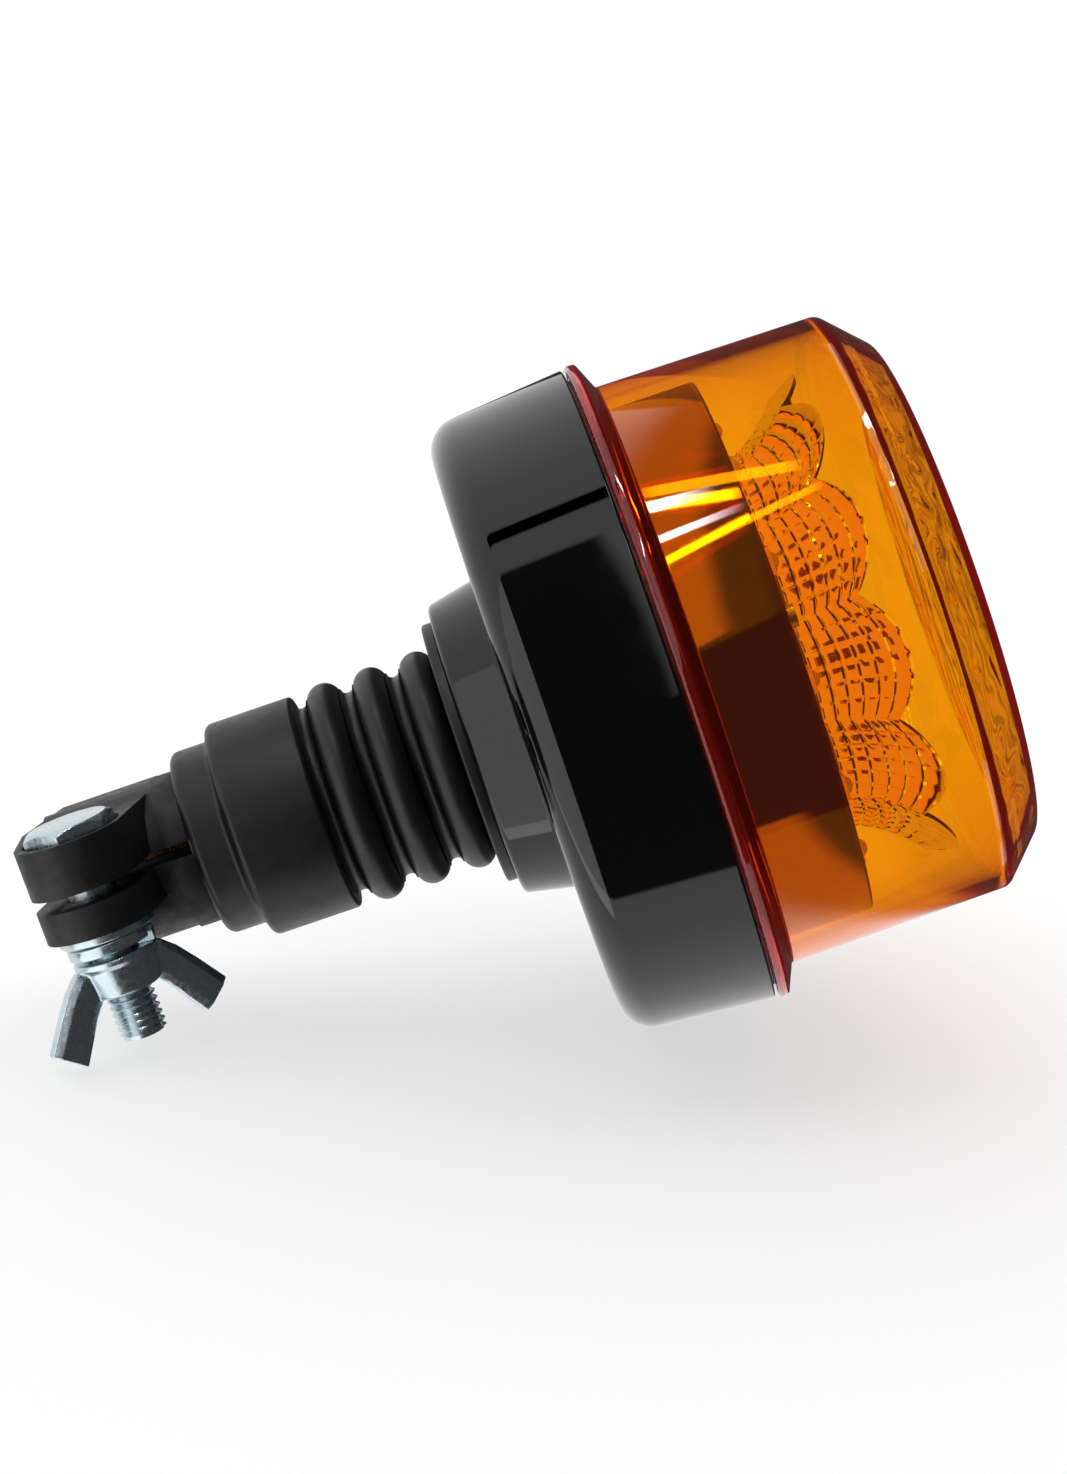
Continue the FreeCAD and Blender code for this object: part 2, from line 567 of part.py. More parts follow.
def led_board():
    """Ring-shaped circuit board, flush with the drum's top edge."""
    body = ring("led_board", "ledBoardInner", "drumBore - seatGap",
                "drumTop - ledBoardThick", "ledBoardThick")
    bx, by = around("boardScrewCircle", 15)
    drilled(body, "XY_Plane", bx, by, "smallShank + screwGap", "ledBoardThick",
            start="drumTop - ledBoardThick", count="3")
    return body


def reflector():
    """Metallised flared reflector: a ring of scooped petals with flat facets.
    Each petal is a ruled loft through outlines whose outer edge dips between its two
    ridges; a lying cylinder rounds its top, and the petals are turned about Z and fused."""
    foot, mouth = size("reflectorFoot"), size("reflectorMouth")
    tall, wall = size("reflectorHeight"), size("reflectorWall")
    count = round(size("ledCount"))
    base = size("drumTop - ledBoardThick + seatGap")
    half = math.pi / count
    columns, rows = 5, 6
    sections = []
    for row in range(rows + 1):
        share = row / rows
        ridge = foot + (mouth - foot) * share ** 1.7
        dip = size("petalDip") * (0.25 + 0.75 * share)
        outer, inner = [], []
        for column in range(columns + 1):
            side = 2 * column / columns - 1
            reach = ridge - dip * (1 - side ** 2)
            turn = side * half
            outer.append(Vector(math.cos(turn), math.sin(turn), 0) * reach)
            inner.append(Vector(math.cos(turn), math.sin(turn), 0) * (reach - wall))
        height = Vector(0, 0, base + tall * share)
        loop = [point + height for point in outer + inner[::-1]]
        sections.append(Part.makePolygon(loop + loop[:1]))
    petal = Part.makeLoft(sections, True, True)
    crown = size("petalCrown")
    top = Part.makeCylinder(crown, 2 * mouth, Vector(0, 0, base + tall - crown), Vector(1, 0, 0))
    petal = petal.common(top)
    petals = []
    for turn in range(count):
        copy = petal.copy()
        copy.rotate(Vector(0, 0, 0), Vector(0, 0, 1), 360 * turn / count)
        petals.append(copy)
    floor_radius = (foot - size("petalDip") / 4 - wall / 4) * math.cos(half / columns)
    floor = Part.makeCylinder(floor_radius, size("reflectorFloor"), Vector(0, 0, base))
    shape = floor.multiFuse(petals).removeSplitter()
    hole = size("smallShank + screwGap")
    for turn in range(3):
        angle = math.radians(50 + 120 * turn)
        place = Vector(math.cos(angle), math.sin(angle), 0) * size("reflectorScrewCircle")
        shape = shape.cut(Part.makeCylinder(hole, 2 * tall, place + Vector(0, 0, base - tall)))
    feature = doc.addObject("Part::Feature", "reflector")
    feature.Shape = shape
    feature.Label = "reflector"
    return feature


def primitive(kind, name, x="0", y="0", z="0", **links):
    """Part primitive with bound sizes and place."""
    thing = doc.addObject("Part::" + kind, name)
    return bind(thing, x=x, y=y, z=z, **links)


def grouped(label, things):
    """One sub-part made of several equal, separate solids."""
    group = doc.addObject("Part::Compound", label)
    group.Links = things
    group.Label = label
    return group


def fused(label, things):
    joined = doc.addObject("Part::MultiFuse", label)
    joined.Shapes = things
    joined.Label = label
    return joined


def screws(label, circle, angle, seat, head, tall, shank, length):
    """Three cheese-head screws on a circle, driven downwards, heads on a seat height."""
    solids = []
    for number in range(3):
        x, y = around(circle, angle + 120 * number)
        name = "%s_%d" % (label, number)
        cap = primitive("Cylinder", name + "_head", x, y, seat, Radius=head, Height=tall)
        rod = primitive("Cylinder", name + "_shank", x, y, "%s - %s" % (seat, length),
                        Radius=shank, Height="%s + %s / 2" % (length, tall))
        solids.append(fused(name, [cap, rod]))
    return grouped(label, solids)


def led_emitters():
    """Surface-mounted LEDs, each a square package under a moulded dome."""
    solids = []
    for number in range(round(size("ledCount"))):
        turn = 360 * number / size("ledCount")
        x, y = around("ledCircle", turn)
        z = "drumTop"
        block = primitive("Box", "led_block_%d" % number, Length="ledSize", Width="ledSize",
                          Height="ledHeight", x="ledCircle * cos(%g) - ledSize / 2" % turn,
                          y="ledCircle * sin(%g) - ledSize / 2" % turn, z=z)
        dome = primitive("Sphere", "led_dome_%d" % number, x, y, z + " + ledHeight / 2",
                         Radius="ledDome")
        dome.Angle1 = 0
        solids.append(fused("led_%d" % number, [block, dome]))
    return grouped("led_emitters", solids)


def driver_board():
    body = body_named("driver_board")
    drilled(body, "XY_Plane", "0", "0", "driverRadius", "driverThick", start=DRIVER_BASE,
            cut=False)
    drilled(body, "XY_Plane", "0", "0", "leadHole", "driverThick", start=DRIVER_BASE)
    x, y = around("postCircle", 90)
    drilled(body, "XY_Plane", x, y, "smallShank + screwGap", "driverThick",
            start=DRIVER_BASE, count="3")
    return body


DRIVER_TOP = DRIVER_BASE + " + driverThick"


def driver_capacitors():
    cans = [
        primitive("Cylinder", "capacitor_%d" % number, "postCircle / 2",
                  "%d * 1.3 * capRadius" % side, DRIVER_TOP, Radius="capRadius",
                  Height="capHeight")
        for number, side in enumerate((-1, 1))]
    return grouped("driver_capacitors", cans)


def driver_coil():
    """Ring-core choke standing on the board."""
    core = doc.addObject("Part::Torus", "driver_coil")
    core.Label = "driver_coil"
    bind(core, Radius1="coilRadius", Radius2="coilRound", x="-postCircle / 2", y="0",
         z=DRIVER_TOP + " + coilRound")
    return core


def driver_chips():
    chips = [
        primitive("Box", "chip_%d" % number, "-chipLength / 2", "%g * chipWidth" % row,
                  DRIVER_TOP, Length="chipLength", Width="chipWidth", Height="chipHeight")
        for number, row in enumerate((-3.5, 2.5))]
    return grouped("driver_chips", chips)


def contact_housing():
    """Insulating plug in the top of the clamp tube, with a chamber for the spring."""
    outer = "socketRadius - housingWall - contactGap"
    return turned("contact_housing", [
        ("plungerRadius + contactGap", "socketDepth"), (outer, "socketDepth"),
        (outer, "housingTop"), ("chamberRadius", "housingTop"),
        ("chamberRadius", "socketDepth + housingFloor"),
        ("plungerRadius + contactGap", "socketDepth + housingFloor")])


COLLAR_BASE = "socketDepth + housingFloor + contactGap"


def contact_plunger():
    """Brass centre contact with a rounded tip and a collar that the spring pushes on."""
    tip = "socketDepth - plungerReach"
    body = turned("contact_plunger", [
        ("0", tip), ("plungerRadius", tip), ("plungerRadius", COLLAR_BASE),
        ("plungerCollar", COLLAR_BASE), ("plungerCollar", COLLAR_BASE + " + plungerCollarThick"),
        ("0", COLLAR_BASE + " + plungerCollarThick")])
    return rounded(body, [("plungerRadius", tip, "plungerRadius * 0.6")])


def contact_spring():
    """Coil spring between the plunger's collar and the terminal above it."""
    wire = size("springWire")
    low = size(COLLAR_BASE + " + plungerCollarThick + springWire / 2 + contactGap")
    high = size("housingTop - springWire / 2 - contactGap")
    coil = size("springCoil")
    helix = Part.makeHelix((high - low) / size("springTurns"), high - low, coil)
    section = Part.Wire(Part.makeCircle(wire / 2, Vector(coil, 0, 0), Vector(0, 1, 0)))
    spring = Part.Wire(helix).makePipeShell([section], True, True)
    feature = doc.addObject("Part::Feature", "contact_spring")
    feature.Shape = spring
    feature.Label = "contact_spring"
    feature.Placement.Base = Vector(0, 0, low)
    return feature


def contact_terminal():
    """Brass disc that closes the spring chamber and takes the positive lead."""
    return ring("contact_terminal", "terminalHole", "terminalRadius",
                "housingTop + contactGap", "terminalThick")


def ground_contact():
    """Brass leaf in a groove of the socket wall, flush with the bore."""
    leaf = body_named("ground_contact")
    inner = "socketRadius + contactGap"
    padded(leaf, "YZ_Plane", [
        (inner, "leafBase"), (inner + " + leafThick", "leafBase"),
        (inner + " + leafThick", "leafTop"), (inner, "leafTop")],
        "leafWidth", start="-leafWidth / 2")
    return leaf


def lead(label, points):
    """Round cable: straight runs joined by arcs as large as the runs allow."""
    places = [Vector(*(size(c) for c in point)) for point in points]
    edges = []
    begin = places[0]
    for before, corner, after in zip(places, places[1:], places[2:]):
        arriving, leaving = corner - before, after - corner
        turn = arriving.getAngle(leaving)
        shorter = min(arriving.Length, leaving.Length)
        setback = 0.45 * shorter
        first = corner - arriving.normalize() * setback
        last = corner + leaving.normalize() * setback
        pull = (first + last) / 2 - corner
        radius = setback / math.tan(turn / 2)
        middle = corner + pull.normalize() * (math.hypot(radius, setback) - radius)
        print("%s arc radius %.1f mm" % (label, radius))
        edges.append(Part.LineSegment(begin, first).toShape())
        edges.append(Part.Arc(first, middle, last).toShape())
        begin = last
    edges.append(Part.LineSegment(begin, places[-1]).toShape())
    path = Part.Wire(edges)
    section = Part.Wire(Part.makeCircle(size("leadRadius"), places[0], places[1] - places[0]))
    shape = path.makePipeShell([section], True, False)
    expected = math.pi * size("leadRadius") ** 2 * path.Length
    print("%s volume / expected %.4f" % (label, shape.Volume / expected))
    feature = doc.addObject("Part::Feature", label)
    feature.Shape = shape
    feature.Label = label
    return feature


def lead_positive():
    return lead("lead_positive", [
        ("-4", "0", "housingTop + terminalThick + 2 * contactGap"),
        ("-4", "0.1", "housingTop + 8"), ("-2.5", "-2.5", "sleeveTop + 16"),
        ("-3.5", "-1.5", "neckFoot - 6"), ("-2.5", "-2", "neckFoot + 6"),
        ("-3", "-3", DRIVER_TOP + " + 3 * leadRadius"),
        ("-9", "-9", DRIVER_TOP + " + seatGap + leadRadius")])


def lead_negative():
    return lead("lead_negative", [
        ("0", "socketRadius - leadRadius - contactGap", "housingTop + contactGap"),
        ("0.1", "10.5", "housingTop + 8"), ("2.5", "3", "sleeveTop + 17"),
        ("3.5", "2", "neckFoot - 5"), ("2.5", "1.5", "neckFoot + 7"),
        ("3", "3", DRIVER_TOP + " + 3 * leadRadius"),
        ("9", "9", DRIVER_TOP + " + seatGap + leadRadius")])


def led_lead():
    """Lead from the driver board up through the heat sink to the LED board."""
    rise = "ledBoardInner + 2 * leadRadius"
    return lead("led_lead", [
        ("postCircle * 0.85", "0", DRIVER_TOP + " + seatGap"),
        ("postCircle * 0.85", "0.1", DRIVER_TOP + " + 7"),
        (rise, "0", PLATE_BASE + " - finHeight - 6"), (rise, "0", "drumTop - ledBoardThick - seatGap")])


def screws_inside():
    floor = "cupFloor + cupWall"
    return [
        screws("stem_screws", "stemScrewCircle", 0, "neckFoot + neckFloorThick + contactGap",
               "stemHead", "stemHeadHeight", "stemShank", "stemScrewLength"),
        screws("driver_screws", "postCircle", 90, DRIVER_TOP + " + contactGap",
               "smallHead", "smallHeadHeight", "smallShank", "smallLength"),
        screws("carrier_screws", "bossCircle", 30,
               floor + " + bossHeight + tabThick + seatGap + contactGap",
               "smallHead", "smallHeadHeight", "smallShank", "smallLength"),
        screws("board_screws", "boardScrewCircle", 15, "drumTop + contactGap",
               "smallHead", "smallHeadHeight", "smallShank", "smallLength"),
        screws("reflector_screws", "reflectorScrewCircle", 50,
               "drumTop - ledBoardThick + seatGap + reflectorFloor + contactGap",
               "smallHead", "smallHeadHeight", "smallShank", "shortLength")]


subparts = [
    clamp_body(), clamp_bolt(), flat_washer(), spring_washer(), wing_nut(),
    contact_housing(), contact_plunger(), contact_spring(), contact_terminal(),
    ground_contact(), stem_bellows(), stem_insert(), base_cup(), driver_board(),
    driver_capacitors(), driver_coil(), driver_chips(), lead_positive(), lead_negative(),
    led_lead(), carrier_drum(), heat_sink(), led_board(), led_emitters(), reflector(),
    lens_seal(), lens(), *screws_inside()]

doc.recompute()
failed = [thing.Name for thing in doc.Objects
          if "Invalid" in thing.State or "Error" in thing.State]
if failed:
    raise RuntimeError("failed objects: " + ", ".join(failed))
os.makedirs("parts", exist_ok=True)
for subpart in subparts:
    shape = subpart.Shape
    if shape.isNull() or not shape.isValid():
        raise RuntimeError(subpart.Label + " is not a valid shape")
    shape.exportStep("parts/%s.step" % subpart.Label)
    print("%-18s %2d solid(s) %10.1f mm3" % (subpart.Label, len(shape.Solids), shape.Volume))
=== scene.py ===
import math

import bmesh
import bpy
from mathutils import Matrix, Vector


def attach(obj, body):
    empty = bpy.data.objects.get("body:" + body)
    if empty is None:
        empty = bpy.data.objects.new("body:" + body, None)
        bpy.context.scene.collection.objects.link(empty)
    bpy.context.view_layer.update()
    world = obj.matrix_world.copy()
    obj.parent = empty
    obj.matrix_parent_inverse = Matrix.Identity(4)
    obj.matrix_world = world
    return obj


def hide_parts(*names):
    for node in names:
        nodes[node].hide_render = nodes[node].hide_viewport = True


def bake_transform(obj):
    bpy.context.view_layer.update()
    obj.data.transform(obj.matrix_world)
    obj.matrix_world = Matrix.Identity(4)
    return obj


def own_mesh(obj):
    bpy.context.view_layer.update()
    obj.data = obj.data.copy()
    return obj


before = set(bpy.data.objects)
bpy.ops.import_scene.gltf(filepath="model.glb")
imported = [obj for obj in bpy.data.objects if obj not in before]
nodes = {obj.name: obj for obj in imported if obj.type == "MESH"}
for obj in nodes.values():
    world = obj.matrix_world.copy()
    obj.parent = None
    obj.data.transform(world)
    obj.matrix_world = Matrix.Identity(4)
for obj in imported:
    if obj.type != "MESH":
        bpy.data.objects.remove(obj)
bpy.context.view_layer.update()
mm = 0.001


# small helpers

def linear(hexColour):
    # sRGB hex to linear colour
    parts = [int(hexColour[i:i + 2], 16) / 255 for i in (1, 3, 5)]
    return [c / 12.92 if c <= 0.04045 else ((c + 0.055) / 1.055) ** 2.4 for c in parts] + [1.0]


def addNode(tree, kind, settings=None, links=None):
    # settings are the node's own, links go by socket name or number: a value or another output
    node = tree.nodes.new(kind)
    for key, value in (settings or {}).items():
        setattr(node, key, value)
    for key, value in (links or {}).items():
        if isinstance(value, bpy.types.NodeSocket):
            tree.links.new(value, node.inputs[key])
        else:
            node.inputs[key].default_value = value
    return node


def startMaterial(name, **shaderValues):
    material = bpy.data.materials.new(name)
    material.use_nodes = True
    tree = material.node_tree
    tree.nodes.clear()
    shader = addNode(tree, "ShaderNodeBsdfPrincipled", links=shaderValues)
    output = addNode(tree, "ShaderNodeOutputMaterial", links={"Surface": shader.outputs[0]})
    place = addNode(tree, "ShaderNodeTexCoord").outputs["Object"]
    return material, tree, shader, place, output


def noiseOf(tree, place, sizeMm, detail=3.0):
    # noise whose blobs are about sizeMm across
    return addNode(tree, "ShaderNodeTexNoise", links={
        "Vector": place, "Scale": 1000 / sizeMm, "Detail": detail}).outputs["Fac"]


def spread(tree, value, low, high):
    return addNode(tree, "ShaderNodeMapRange", links={
        "Value": value, "From Min": 0.3, "From Max": 0.7, "To Min": low, "To Max": high}).outputs[0]


def bumpOf(tree, height, distanceMm, strength=1.0, normal=None):
    links = {"Height": height, "Distance": distanceMm * mm, "Strength": strength}
    if normal:
        links["Normal"] = normal
    return addNode(tree, "ShaderNodeBump", links=links).outputs[0]


def tinted(tree, value, dark, light):
    return addNode(tree, "ShaderNodeMix", {"data_type": "RGBA"}, {
        0: value, 6: linear(dark), 7: linear(light)}).outputs[2]


def newMesh(name, points, faces, material, smoothDegrees=35):
    mesh = bpy.data.meshes.new(name)
    mesh.from_pydata([tuple(p) for p in points], [], faces)
    tidy = bmesh.new()
    tidy.from_mesh(mesh)
    bmesh.ops.remove_doubles(tidy, verts=tidy.verts, dist=1e-7)
    bmesh.ops.dissolve_degenerate(tidy, edges=tidy.edges, dist=1e-7)
    bmesh.ops.recalc_face_normals(tidy, faces=tidy.faces)
    tidy.to_mesh(mesh)
    tidy.free()
    piece = bpy.data.objects.new(name, mesh)
    bpy.context.scene.collection.objects.link(piece)
    mesh.materials.append(material)
    smoothUnder(piece, smoothDegrees)
    return piece


def smoothUnder(piece, degrees):
    # edges sharper than this stay crisp
    mesh = piece.data
    mesh.polygons.foreach_set("use_smooth", [True] * len(mesh.polygons))
    edges = bmesh.new()
    edges.from_mesh(mesh)
    for edge in edges.edges:
        edge.smooth = len(edge.link_faces) == 2 and edge.calc_face_angle(0) < math.radians(degrees)
    edges.to_mesh(mesh)
    edges.free()


def roundedProfile(corners, closed=True, steps=6):
    # corners are (radius, height, rounding) in mm; each rounding becomes an arc
    points = []
    count = len(corners)
    for index, corner in enumerate(corners):
        here = Vector(corner[:2])
        amount = corner[2] if len(corner) > 2 else 0
        if not amount or (not closed and index in (0, count - 1)):
            points.append(here)
            continue
        before = Vector(corners[index - 1][:2]) - here
        after = Vector(corners[(index + 1) % count][:2]) - here
        opening = before.angle(after)
        reach = min(amount / math.tan(opening / 2), 0.49 * before.length, 0.49 * after.length)
        radius = reach * math.tan(opening / 2)
        first, last = here + before.normalized() * reach, here + after.normalized() * reach
        centre = here + (before.normalized() + after.normalized()).normalized() * (
            radius / math.sin(opening / 2))
        for step in range(steps + 1):
            spot = (first - centre).lerp(last - centre, step / steps).normalized() * radius
            points.append(centre + spot)
    return points


def turned(name, profile, material, segments=192, closed=True, smoothDegrees=35):
    # revolve (radius, height) points in mm about Z
    points, faces = [], []
    count = len(profile)
    for step in range(segments):
        turn = 2 * math.pi * step / segments
        for radius, height in profile:
            points.append((radius * mm * math.cos(turn), radius * mm * math.sin(turn), height * mm))
    for step in range(segments):
        after = (step + 1) % segments
        for index in range(count if closed else count - 1):
            following = (index + 1) % count
            faces.append((step * count + index, after * count + index,
                          after * count + following, step * count + following))
    return newMesh(name, points, faces, material, smoothDegrees)


def joined(name, pieces):
    # one object out of several meshes; pieces[0] keeps its material
    whole = bmesh.new()
    for piece in pieces:
        piece.data.transform(piece.matrix_world)
        whole.from_mesh(piece.data)
    mesh = pieces[0].data
    whole.to_mesh(mesh)
    whole.free()
    for piece in pieces[1:]:
        bpy.data.objects.remove(piece)
    pieces[0].name = name
    mesh.name = name
    return pieces[0]


def stand(piece, body, node):
    # piece rides on a body and stands for a CAD node
    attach(piece, body)
    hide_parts(node)
    return piece


# view, floor and light

view = {"place": (-116.585, -668.86, 109.806), "right": (0.321099, -0.0433725, 0.946052),
        "down": (0.930993, -0.168692, -0.323722), "ahead": (0.173632, 0.984714, -0.013788),
        "lens": 80.6, "floorUp": (-0.9261, -0.1594, 0.342)}

viewRight, viewDown, viewAhead = (Vector(view[key]) for key in ("right", "down", "ahead"))
floorUp = Vector(view["floorUp"]).normalized()
floorRight = (viewRight - floorUp * viewRight.dot(floorUp)).normalized()
floorNear = floorRight.cross(floorUp).normalized()
if floorNear.dot(viewAhead) > 0:
    floorNear.negate()
floorDrop = min(floorUp.dot(vertex.co) for node in nodes.values() for vertex in node.data.vertices)

cameraData = bpy.data.cameras.new("camera")
cameraData.lens = view["lens"]
cameraData.sensor_width = 36
cameraData.sensor_height = 36
cameraData.sensor_fit = "AUTO"
cameraData.clip_start = 0.01
camera = bpy.data.objects.new("camera", cameraData)
turn = Matrix((viewRight, -viewDown, -viewAhead)).transposed().to_4x4()
camera.matrix_world = Matrix.Translation(Vector(view["place"]) * mm) @ turn
bpy.context.scene.collection.objects.link(camera)
bpy.context.scene.camera = camera
bpy.context.scene.view_settings.view_transform = "Standard"


def floorPatch(name, left, right, far, near, material):
    # a rectangle of floor, its sides in metres from under the head
    centre = Vector((0, 0, 0.11))
    centre += floorUp * (floorDrop - floorUp.dot(centre))
    corners = [centre + floorRight * x + floorNear * y
               for x, y in ((left, far), (right, far), (right, near), (left, near))]
    patch = newMesh(name, corners, [(0, 1, 2, 3)], material)
    if patch.data.polygons[0].normal.dot(floorUp) < 0:
        patch.data.flip_normals()
    return patch


def floorMaterial():
    # frosted acrylic table with a lamp under it, seen from above only: it softens the shadow
    material, tree, shader, place, output = startMaterial("whiteTable", **{
        "Base Color": linear("#A6A6A6"), "Roughness": 0.9, "Specular IOR Level": 0.1,
        "Emission Color": linear("#FFFFFF"), "Emission Strength": 0.635})
    clear = addNode(tree, "ShaderNodeBsdfTransparent")
    back = addNode(tree, "ShaderNodeNewGeometry").outputs["Backfacing"]
    mixed = addNode(tree, "ShaderNodeMixShader", links={0: back, 1: shader.outputs[0],
                                                        2: clear.outputs[0]})
    tree.links.new(mixed.outputs[0], output.inputs["Surface"])
    return material


whiteTable = floorMaterial()
table = floorPatch("table", -0.6, 0.6, -0.8, 0.8, whiteTable)
table.visible_glossy = False
table.visible_transmission = False

# the light tent, laid out round the lamp's own axis: turn is degrees from the camera's side
# upwards about Z, lean is the height of the direction on Z, slant shifts a panel's two turn
# edges with lean (degrees per unit of lean, from slantFrom), soft is half an edge's blur
slantFrom = 0.08
softTent = {
    "overhead": {"turn": (57, 186), "lean": (-0.95, 0.95), "level": 1.5, "soft": 1.0},
    "front": {"turn": (9, 57), "lean": (-0.1, 0.5), "level": 0.3, "soft": 1.0},
    "under": {"turn": (-180, -80), "lean": (-0.95, 0.95), "level": 1.0, "soft": 3.0},
}
crispTent = {
    "overhead": {"turn": (57, 125), "slant": (0, -480), "lean": (-0.98, 0.1), "level": 0.85,
                 "soft": 1.0},
    "gap": {"turn": (69.5, 74.5), "lean": (-0.32, 0.0), "level": -0.95, "soft": 0.6},
    "front": {"turn": (10, 57), "slant": (80, 0), "lean": (-0.1, 0.1), "level": 0.95, "soft": 1.0},
    "side": {"turn": (-80, 57), "lean": (-0.98, -0.35), "level": 1.3, "soft": 1.0},
    "stripOne": {"turn": (68.2, 72.8), "slant": (-105, -105), "lean": (0.035, 0.125),
                 "level": 26.0, "soft": 0.5},
    "stripTwo": {"turn": (46.8, 49.8), "slant": (100, 100), "lean": (0.03, 0.135), "level": 26.0,
                 "soft": 0.5},
    "under": {"turn": (-180, -69), "lean": (-0.98, 0.092), "level": 0.9, "soft": 1.0},
}


def buildWorld():
    world = bpy.data.worlds.new("studio")
    bpy.context.scene.world = world
    world.use_nodes = True
    tree = world.node_tree
    tree.nodes.clear()
    direction = addNode(tree, "ShaderNodeTexCoord").outputs["Generated"]
    lean = addNode(tree, "ShaderNodeSeparateXYZ", links={0: direction}).outputs["Z"]
    toCamera = -viewAhead
    facing = math.atan2(toCamera.y, toCamera.x)
    across = addNode(tree, "ShaderNodeMapping", links={"Vector": direction,
                                                       "Rotation": (0, 0, -facing)})
    level = addNode(tree, "ShaderNodeSeparateXYZ", links={0: across.outputs[0]})

    def maths(operation, *values):
        return addNode(tree, "ShaderNodeMath", {"operation": operation},
                       dict(enumerate(values))).outputs[0]

    around = maths("MULTIPLY", maths("ARCTAN2", level.outputs["Y"], level.outputs["X"]),
                   -180 / math.pi)

    def edge(value, start, width):
        return addNode(tree, "ShaderNodeMapRange", {"interpolation_type": "SMOOTHSTEP"}, {
            "Value": value, "From Min": start - width, "From Max": start + width}).outputs[0]

    def window(value, low, high, width, slant=(0, 0)):
        edges = []
        for start, tilt in zip((low, high), slant):
            moved = maths("MULTIPLY_ADD", lean, -tilt, value) if tilt else value
            edges.append(edge(moved, start - slantFrom * tilt, width))
        return maths("SUBTRACT", *edges)

    def tentLevel(panels, stray):
        total = stray
        for panel in panels.values():
            spread = window(around, *panel["turn"], panel["soft"], panel.get("slant", (0, 0)))
            tall = window(lean, *panel["lean"], 0.01)
            total = maths("MULTIPLY_ADD", maths("MULTIPLY", spread, tall), panel["level"], total)
        return total

    # the eye and the lens see plain white; what a mirror shows comes from the crisp tent
    path = addNode(tree, "ShaderNodeLightPath").outputs
    white = (1, 1, 1, 1)
    soft = addNode(tree, "ShaderNodeBackground", links={"Color": white,
                                                        "Strength": tentLevel(softTent, 0.05)})
    crisp = addNode(tree, "ShaderNodeBackground", links={"Color": white,
                                                         "Strength": tentLevel(crispTent, 0.05)})
    plain = addNode(tree, "ShaderNodeBackground", links={"Color": white, "Strength": 1.0})
    mirrored = maths("GREATER_THAN", path["Glossy Depth"], 0.5)
    lit = addNode(tree, "ShaderNodeMixShader", links={
        0: mirrored, 1: soft.outputs[0], 2: crisp.outputs[0]})
    seen = maths("MAXIMUM", path["Is Camera Ray"], path["Is Transmission Ray"])
    seen = maths("MULTIPLY", seen, maths("SUBTRACT", 1.0, mirrored))
    mixed = addNode(tree, "ShaderNodeMixShader", links={
        0: seen, 1: lit.outputs[0], 2: plain.outputs[0]})
    addNode(tree, "ShaderNodeOutputWorld", links={"Surface": mixed.outputs[0]})


buildWorld()
print("view, floor and light are ready")


# materials

def mouldedNylon():
    # glass-filled nylon, spark-textured mould: matt black that greys a little at the edges
    material, tree, shader, place, output = startMaterial("mouldedNylon")
    cloud = noiseOf(tree, place, 9)
    tree.links.new(tinted(tree, cloud, "#050506", "#0A0A0B"), shader.inputs["Base Color"])
    tree.links.new(spread(tree, noiseOf(tree, place, 2.5), 0.42, 0.6), shader.inputs["Roughness"])
    grain = noiseOf(tree, place, 0.45, 2)
    tree.links.new(bumpOf(tree, grain, 0.03, 0.5), shader.inputs["Normal"])
    return material


def mouldedRubber():
    # EPDM from a polished mould: soft satin black, faint bloom
    material, tree, shader, place, output = startMaterial("mouldedRubber")
    tree.links.new(tinted(tree, noiseOf(tree, place, 14), "#060607", "#0B0B0C"),
                   shader.inputs["Base Color"])
    tree.links.new(spread(tree, noiseOf(tree, place, 3), 0.36, 0.46), shader.inputs["Roughness"])
    tree.links.new(bumpOf(tree, noiseOf(tree, place, 0.6, 2), 0.02, 0.5), shader.inputs["Normal"])
    return material


def glossAbs():
    # piano-black ABS: deep black with clean reflections, barely wavy
    material, tree, shader, place, output = startMaterial("glossAbs", **{
        "Base Color": linear("#050506"), "IOR": 1.54})
    tree.links.new(spread(tree, noiseOf(tree, place, 5), 0.0245, 0.0525),
                   shader.inputs["Roughness"])
    tree.links.new(bumpOf(tree, noiseOf(tree, place, 22, 1), 0.02, 0.35), shader.inputs["Normal"])
    return material


def zincPlate():
    # bright blue-passivated zinc over forged steel: cold silver, satin, soft dents
    material, tree, shader, place, output = startMaterial("zincPlate", **{"Metallic": 1.0})
    tree.links.new(tinted(tree, noiseOf(tree, place, 6), "#B4C8D0", "#E2ECF0"),
                   shader.inputs["Base Color"])
    tree.links.new(spread(tree, noiseOf(tree, place, 1.2), 0.2, 0.36), shader.inputs["Roughness"])
    dents = bumpOf(tree, noiseOf(tree, place, 4.5, 2), 0.3, 0.6)
    tree.links.new(bumpOf(tree, noiseOf(tree, place, 0.5, 2), 0.01, 0.4, dents),
                   shader.inputs["Normal"])
    return material


def plainSteel():
    # machine-finished steel of the small screws and springs
    material, tree, shader, place, output = startMaterial("plainSteel", **{
        "Metallic": 1.0, "Base Color": linear("#B9BBBD")})
    tree.links.new(spread(tree, noiseOf(tree, place, 1.5), 0.2, 0.36), shader.inputs["Roughness"])
    return material


def rolledBrass():
    # rolled and turned brass: warm yellow with fine drag lines
    material, tree, shader, place, output = startMaterial("rolledBrass", **{"Metallic": 1.0})
    tree.links.new(tinted(tree, noiseOf(tree, place, 4), "#C9963C", "#E3BB62"),
                   shader.inputs["Base Color"])
    tree.links.new(spread(tree, noiseOf(tree, place, 0.8), 0.18, 0.34), shader.inputs["Roughness"])
    return material


